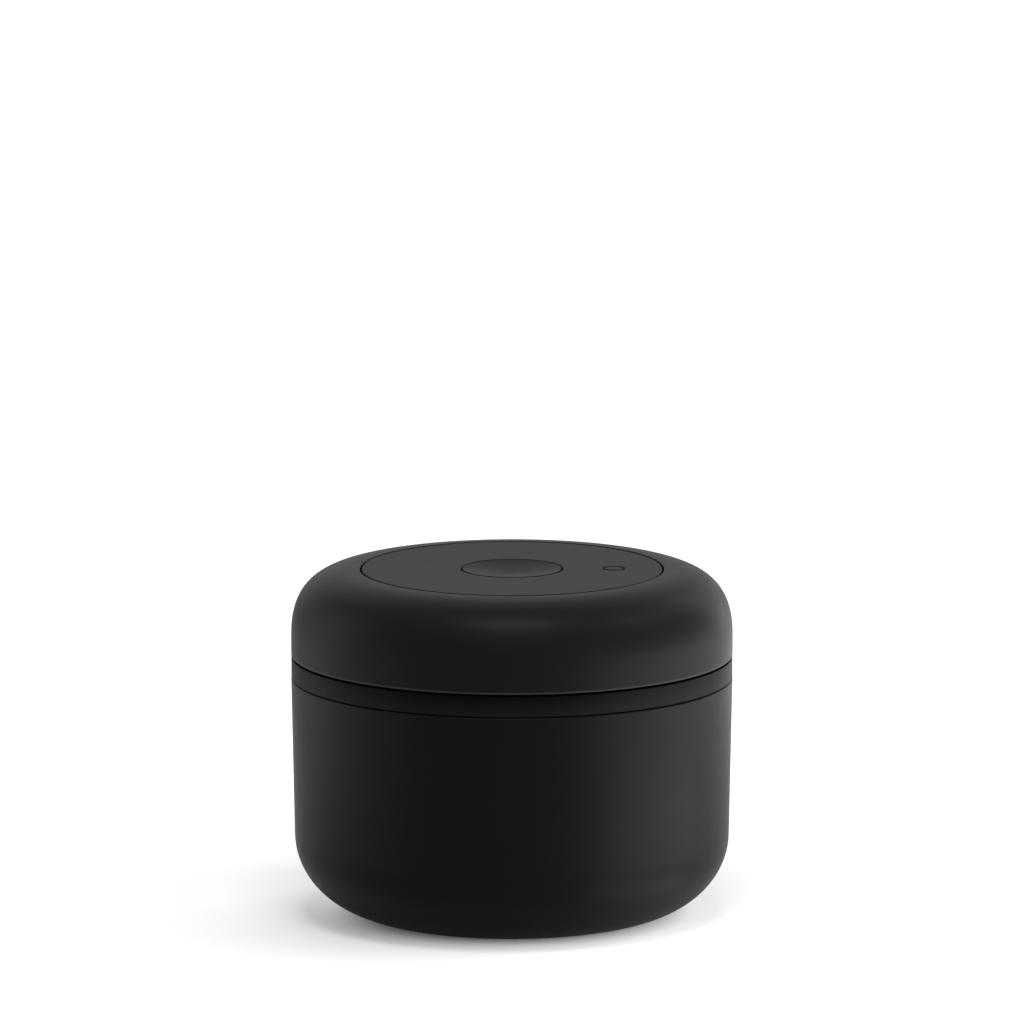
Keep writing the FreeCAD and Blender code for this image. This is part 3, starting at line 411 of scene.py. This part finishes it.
wear(woven_steel, ["filter_mesh"])

# %% [markdown]
# ## The springs
# A spring has to shorten when its button or pin goes down, and a imported solid can't, so the two springs are
# wound again here. By hand that is a small ring of wire set out from the axis, and a Screw modifier that
# carries it round and up. The ends are then closed.

# %% Smooth a new piece
SMOOTH_BELOW = math.radians(40)
FULL_TURN = math.radians(360)


def shade_and_settle(piece, finish):
    """Smooth shading, one finish, and normals that face outwards."""
    bpy.context.view_layer.objects.active = piece
    bpy.ops.object.mode_set(mode="EDIT")
    bpy.ops.mesh.select_all(action="SELECT")
    bpy.ops.mesh.remove_doubles(threshold=1e-6)
    bpy.ops.mesh.normals_make_consistent(inside=False)
    bpy.ops.object.mode_set(mode="OBJECT")
    bpy.ops.object.shade_smooth_by_angle(angle=SMOOTH_BELOW)
    piece.data.materials.clear()
    piece.data.materials.append(finish)
    print(piece.name, "faces", len(piece.data.polygons))


# %% Wind a spring in the place of its solid
WIRE_POINTS = 14
STEPS_PER_TURN = 48


def wind_spring(name, node, wire_radius, turns):
    """Coil that fills the box of the spring's solid."""
    low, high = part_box(node)
    centre = (low + high) / 2
    coil_radius = (high.y - low.y) / 2 - wire_radius
    bpy.ops.object.select_all(action="DESELECT")
    bpy.ops.mesh.primitive_circle_add(
        vertices=WIRE_POINTS,
        radius=wire_radius,
        fill_type="NOTHING",
        location=(coil_radius, 0, low.z + wire_radius),
        rotation=(math.radians(90), 0, 0),
    )
    piece = bpy.context.object
    piece.name = name
    bpy.ops.object.transform_apply(location=True, rotation=True, scale=True)
    screw = piece.modifiers.new("wind", "SCREW")
    screw.axis = "Z"
    screw.angle = FULL_TURN * turns
    screw.screw_offset = high.z - low.z - 2 * wire_radius
    screw.steps = screw.render_steps = round(STEPS_PER_TURN * turns)
    bpy.ops.object.modifier_apply(modifier="wind")
    bpy.ops.object.mode_set(mode="EDIT")
    bpy.ops.mesh.select_all(action="SELECT")
    bpy.ops.mesh.fill_holes(sides=0)
    bpy.ops.mesh.select_all(action="SELECT")
    bpy.ops.transform.translate(value=(centre.x, centre.y, 0))
    bpy.ops.object.mode_set(mode="OBJECT")
    shade_and_settle(piece, turned_steel)
    return piece


button_coil = wind_spring("button_coil", "button_spring", wire_radius=0.4 * MM, turns=3.0)
indicator_coil = wind_spring("indicator_coil", "indicator_spring", wire_radius=0.2 * MM, turns=4.5)

# %% [markdown]
# ## The indicator's diaphragm
# The diaphragm is a little silicone hat, clamped by its brim, that the vacuum pulls down. It is lathed: a
# profile is drawn point by point with extrude, and spin carries it once round the axis of the indicator.

# %% Lathe a profile
def lathe(name, profile, centre, steps):
    """Line of (radius, height) points, spun once about an upright axis."""
    bpy.ops.object.select_all(action="DESELECT")
    bpy.ops.mesh.primitive_plane_add(size=1 * MM)
    piece = bpy.context.object
    piece.name = name
    bpy.ops.object.mode_set(mode="EDIT")
    bpy.ops.mesh.select_all(action="SELECT")
    bpy.ops.mesh.merge(type="CENTER")
    bpy.ops.transform.translate(value=(centre.x + profile[0][0], centre.y, profile[0][1]))
    for (radius, level), (next_radius, next_level) in zip(profile, profile[1:]):
        step = (next_radius - radius, 0, next_level - level)
        bpy.ops.mesh.extrude_region_move(TRANSFORM_OT_translate={"value": step})
    bpy.ops.mesh.select_all(action="SELECT")
    bpy.ops.mesh.spin(
        steps=steps,
        angle=FULL_TURN,
        center=(centre.x, centre.y, 0),
        axis=(0, 0, 1),
        use_auto_merge=True,
    )
    bpy.ops.object.mode_set(mode="OBJECT")
    return piece


# %% The little hat
low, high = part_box("indicator_diaphragm")
skin = 0.7 * MM
brim = (high.x - low.x) / 2
crown = brim - 1.6 * MM
chamfer = 0.3 * skin
hat = [
    (0, high.z - skin),
    (crown - skin - chamfer, high.z - skin),
    (crown - skin, high.z - skin - chamfer),
    (crown - skin, low.z),
    (brim, low.z),
    (brim, low.z + skin),
    (crown, low.z + skin),
    (crown, high.z - chamfer),
    (crown - chamfer, high.z),
    (0, high.z),
]
indicator_hat = lathe("indicator_hat", hat, (low + high) / 2, steps=48)
shade_and_settle(indicator_hat, grey_silicone)

# %% [markdown]
# Each of these pieces stands for its imported solid and rides on the lid.

# %% Put the soft pieces on the lid, in place of their solids
for piece, node, joint, slot in (
    (button_coil, "button_spring", "button_press", "steel"),
    (indicator_coil, "indicator_spring", "indicator_drop", "steel"),
    (indicator_hat, "indicator_diaphragm", "indicator_drop", "silicone_grey"),
):
    low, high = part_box(node)
    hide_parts(node)
    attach(piece, "lid")
    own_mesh(piece)

# %% [markdown]
# ## Floor and surroundings
# The canister stands on a white sweep. To the canister the floor is plain matt white. To the camera it is
# part matt and part glow, so that it comes out white and still keeps the canister's soft shadow. That shadow
# is
# part real and part painted: the glow is gone under the foot, rises more slowly on the shaded left and is
# full far away, which paints a soft shadow round the foot. The dull sheen of the canister sees only a share
# of it.

# %% White floor
MATT_WHITE = 0.85
MATT_SEEN = 0.34
bpy.ops.object.select_all(action="DESELECT")
bpy.ops.mesh.primitive_plane_add(size=60)
floor = bpy.context.object
floor.name = "floor"

floor_white = bpy.data.materials.new("floor_white")
floor_white.use_nodes = True
floor_white.node_tree.nodes.remove(shader_of(floor_white))
matt = add_node(floor_white, "ShaderNodeBsdfDiffuse", {"Color": (MATT_WHITE, MATT_WHITE, MATT_WHITE, 1)})
matt_seen = add_node(floor_white, "ShaderNodeBsdfDiffuse", {"Color": (MATT_SEEN, MATT_SEEN, MATT_SEEN, 1)})
glow = add_node(floor_white, "ShaderNodeEmission", {"Color": (1, 1, 1, 1)})
floor.data.materials.append(floor_white)
print("floor", floor.dimensions[0], "m")

# %% [markdown]
# The glow is worked out from two distances on the floor: one from the canister's axis, and one from the
# middle of the shaded side. Three smooth rises along them are the shade, the contact and the far glow. The
# first two are multiplied, and the third is added.

# %% Glow of the floor
SHADE_MIDDLE = (-27.6 * MM, -18.8 * MM, 0)
SHADE_RISE = (-30 * MM, 64 * MM)  # a start below zero leaves some glow in the middle of the shade
CONTACT_RISE = (31.6 * MM, 50.7 * MM)
FAR_RISE = (80 * MM, 250 * MM)
NEAR_GLOW, FAR_GLOW = 0.64, 0.36


def glow_rise(distance, start, end, level):
    """Glow that rises smoothly from nothing to a level, between two distances."""
    rise = add_node(
        floor_white,
        "ShaderNodeMapRange",
        {"From Min": start, "From Max": end, "To Min": 0.0, "To Max": level},
        interpolation_type="SMOOTHSTEP",
    )
    link(floor_white, distance, "Value", rise, "Value")
    return (rise, "Result")


from_shade = add_node(floor_white, "ShaderNodeVectorMath", {1: SHADE_MIDDLE}, operation="DISTANCE")
from_axis = add_node(floor_white, "ShaderNodeVectorMath", operation="LENGTH")
for distance in (from_shade, from_axis):
    link(floor_white, place_of(floor_white), "Object", distance, 0)
# Painted shadow: the shade and contact rises dim the glow round the foot and on the left.
shade = glow_rise(from_shade, *SHADE_RISE, NEAR_GLOW)
contact = glow_rise(from_axis, *CONTACT_RISE, 1.0)
far = glow_rise(from_axis, *FAR_RISE, FAR_GLOW)
strength = math_node(floor_white, "ADD", math_node(floor_white, "MULTIPLY", shade, contact), far)
link(floor_white, *strength, glow, "Strength")
print("glow full from", FAR_RISE[1], "m")

# %% [markdown]
# Light Path tells what kind of ray has met the floor. Camera and transmission rays see the glowing floor,
# glossy rays see a share of it, and all others see the plain matt one.

# %% Who sees the glow
GLOW_IN_SHEEN = 0.3
both = add_node(floor_white, "ShaderNodeAddShader")
path = add_node(floor_white, "ShaderNodeLightPath")
sheen = math_node(floor_white, "MULTIPLY", (path, "Is Glossy Ray"), GLOW_IN_SHEEN)
seen = math_node(floor_white, "MAXIMUM", (path, "Is Camera Ray"), sheen)
seen = math_node(floor_white, "MAXIMUM", seen, (path, "Is Transmission Ray"))
choose = add_node(floor_white, "ShaderNodeMixShader")
link(floor_white, matt_seen, "BSDF", both, 0)
link(floor_white, glow, "Emission", both, 1)
link(floor_white, *seen, choose, "Fac")
link(floor_white, matt, "BSDF", choose, 1)
link(floor_white, both, "Shader", choose, 2)
link(floor_white, choose, "Shader", floor_white.node_tree.nodes["Material Output"], "Surface")
print("floor nodes", len(floor_white.node_tree.nodes))

# %% [markdown]
# The world is white for the camera and for shiny surfaces, and a plain soft light for the rest.

# %% World
SOFT_LIGHT = 0.11
world = bpy.data.worlds.new("studio")
bpy.context.scene.world = world
world.use_nodes = True
sky = world.node_tree.nodes["Background"]
sky.inputs["Color"].default_value = (1, 1, 1, 1)
world_path = add_node(world, "ShaderNodeLightPath")
world_seen = math_node(world, "MAXIMUM", (world_path, "Is Camera Ray"), (world_path, "Is Glossy Ray"))
world_seen = math_node(world, "MAXIMUM", world_seen, (world_path, "Is Transmission Ray"))
ambient = add_node(world, "ShaderNodeMapRange", {"To Min": SOFT_LIGHT, "To Max": 1.0})
link(world, *world_seen, ambient, "Value")
link(world, ambient, "Result", sky, "Strength")
print("soft light", SOFT_LIGHT)

# %% [markdown]
# ## Light and camera
# Six large soft boxes stand 1.3 m away. Each is placed by two angles, one round from the front towards the
# right and one up, and turned to face a point on the canister's axis. Three of them are on the right, where
# the canister has its sheen. None of the lamps shows in the picture.

# %% Large soft boxes
AIM = Vector((0, 0, 60 * MM))
FAR = 1.3


def soft_box(name, stand, width, tall, power):
    """Area lamp that faces the aim and is hidden from the camera."""
    bpy.ops.object.light_add(type="AREA", location=stand)
    lamp = bpy.context.object
    lamp.name = name
    lamp.rotation_euler = (AIM - stand).to_track_quat("-Z", "Y").to_euler()
    lamp.data.shape = "RECTANGLE"
    lamp.data.size = width
    lamp.data.size_y = tall
    lamp.data.energy = power
    lamp.visible_camera = False


def far_place(turn, up):
    """Place at an angle round from the front and an angle up, in degrees."""
    turn, up = math.radians(turn), math.radians(up)
    level = FAR * math.cos(up)
    return AIM + Vector((level * math.sin(turn), -level * math.cos(turn), FAR * math.sin(up)))


# Turn and rise in degrees, width and height in metres, power in watts
LARGE_BOXES = {
    "front_top": (0, 70.7, 0.5, 0.46, 13.5),
    "front_low": (0, 43.1, 0.6, 0.3, 1.8),
    "right_high": (90, 45, 0.4, 0.3, 4.2),
    "right_back": (140, 22, 0.4, 0.9, 2.2),
    "right_edge": (160, 8, 0.25, 0.3, 0.2),
    "left_strip": (-105, 16, 0.5, 0.6, 2.9),
}
for name, (turn, up, *box) in LARGE_BOXES.items():
    soft_box(name, far_place(turn, up), *box)
print("large soft boxes:", len(LARGE_BOXES))

# %% [markdown]
# The lower wall and the round of the bottom see little of the large boxes. Low boxes and three small cards
# stand nearer, down at the floor, and light them as a white floor would.

# %% Low boxes and cards
# Place, width and height in metres, power in watts
LOW_BOXES = {
    "right_rim": ((0.4, 0.5, 0.06), 0.2, 0.12, 0.24),
    "right_low": ((0.23, -0.05, 0.042), 0.42, 0.075, 0.44),
    "right_floor": ((0.3, -0.1, 0.02), 0.3, 0.035, 0.325),
    "left_low": ((-0.3, 0.0, 0.055), 0.4, 0.1, 0.18),
    "left_floor": ((-0.2, -0.02, 0.02), 0.25, 0.04, 0.045),
    "front_card": ((0.12, -0.05, 0.004), 0.12, 0.04, 0.095),
    "back_card": ((0.21, 0.22, 0.005), 0.2, 0.05, 0.06),
    "foot_card": ((0.048, -0.043, 0.001), 0.05, 0.022, 0.011),
}
for name, (stand, *box) in LOW_BOXES.items():
    soft_box(name, Vector(stand), *box)
print("low boxes and cards:", len(LOW_BOXES))

# %% [markdown]
# The camera is 3 m away with a long lens, above the lid and looking down by ten degrees.

# %% Camera
CAMERA_AT = (0.00003, -3.0, 0.6402)
CAMERA_DOWN = 10.054
LENS = 402.4
bpy.ops.object.camera_add(location=CAMERA_AT, rotation=(math.radians(90 - CAMERA_DOWN), 0, 0))
camera = bpy.context.object
camera.data.sensor_width = 36
camera.data.lens = LENS
camera.data.clip_end = 200
bpy.context.scene.camera = camera
bpy.context.scene.view_settings.view_transform = "Standard"
print("lens", camera.data.lens, "mm")
